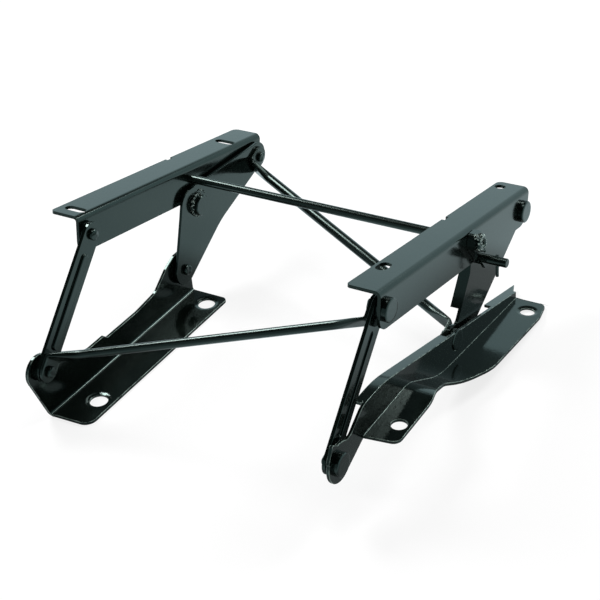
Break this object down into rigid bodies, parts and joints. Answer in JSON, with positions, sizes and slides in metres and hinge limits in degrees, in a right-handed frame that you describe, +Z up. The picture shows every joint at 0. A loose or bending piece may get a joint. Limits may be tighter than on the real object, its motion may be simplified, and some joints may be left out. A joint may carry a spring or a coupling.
{
  "type": "seat riser",
  "caption": "Folding seat riser: two slotted angle rails on riveted four-bar legs, with diagonal tie rods, a latch shaft with a side lever, and flat and stepped floor bases.",
  "frame": {"origin": "middle of the two left floor bolt holes, on the underside of the left base", "axes": "+X across to the side with the lever, +Y to the rear, +Z up, square to the left base"},
  "size_m": [0.374, 0.3962, 0.1661],
  "materials": {
    "paint_sheet": "glossy black paint on pressed steel",
    "paint_fastener": "glossy black paint over rivets, pins and weld"
  },
  "bodies": {
    "bases": {"base_left": "paint_sheet", "base_right": "paint_sheet", "rivet_front_base_left": "paint_fastener", "washer_front_base_left": "paint_fastener", "rivet_front_base_right": "paint_fastener", "washer_front_base_right": "paint_fastener", "rivet_rear_base_left": "paint_fastener", "washer_rear_base_left": "paint_fastener", "rivet_rear_base_right": "paint_fastener", "washer_rear_base_right": "paint_fastener"},
    "front_links": {"front_link_left": "paint_sheet", "front_link_right": "paint_sheet", "front_rod": "paint_sheet"},
    "rails": {"rail_left": "paint_sheet", "rail_right": "paint_sheet", "rivet_front_top_left": "paint_fastener", "washer_front_top_left": "paint_fastener", "rivet_front_top_right": "paint_fastener", "washer_front_top_right": "paint_fastener"},
    "rear_links": {"rear_plate_left": "paint_sheet", "rear_plate_right": "paint_sheet", "rear_rod": "paint_sheet", "lock_pin_left": "paint_fastener", "lock_pin_right": "paint_fastener", "rivet_rear_top_left": "paint_fastener", "washer_rear_top_left": "paint_fastener", "rivet_rear_top_right": "paint_fastener", "washer_rear_top_right": "paint_fastener"},
    "latch": {"cross_shaft": "paint_fastener", "release_lever": "paint_sheet", "left_arm": "paint_sheet", "lever_stub": "paint_fastener", "lever_cross_pin": "paint_fastener", "lever_weld": "paint_fastener"}
  },
  "joints": [
    {"name": "rear_fold", "type": "hinge", "parent": "bases", "child": "rear_links", "pos_m": [0.1245, 0.091, 0.036], "axis": [1, 0, 0], "range_deg": [0, 45]},
    {"name": "front_fold", "type": "hinge", "parent": "bases", "child": "front_links", "pos_m": [0.1245, -0.125, 0.0536], "axis": [1, 0, 0], "range_deg": [0, 43.6]},
    {"name": "rail_fold", "type": "hinge", "parent": "front_links", "child": "rails", "pos_m": [0.1245, -0.03486, 0.14591], "axis": [1, 0, 0], "range_deg": [-33.5, 0]},
    {"name": "latch_turn", "type": "hinge", "parent": "rails", "child": "latch", "pos_m": [0.1245, 0.12445, 0.12197], "axis": [1, 0, 0], "range_deg": [-25, 0]}
  ],
  "couplings": [
    {"joint": "front_fold", "follows": "rear_fold", "ratio": 0.967},
    {"joint": "rail_fold", "follows": "rear_fold", "ratio": -0.742}
  ]
}
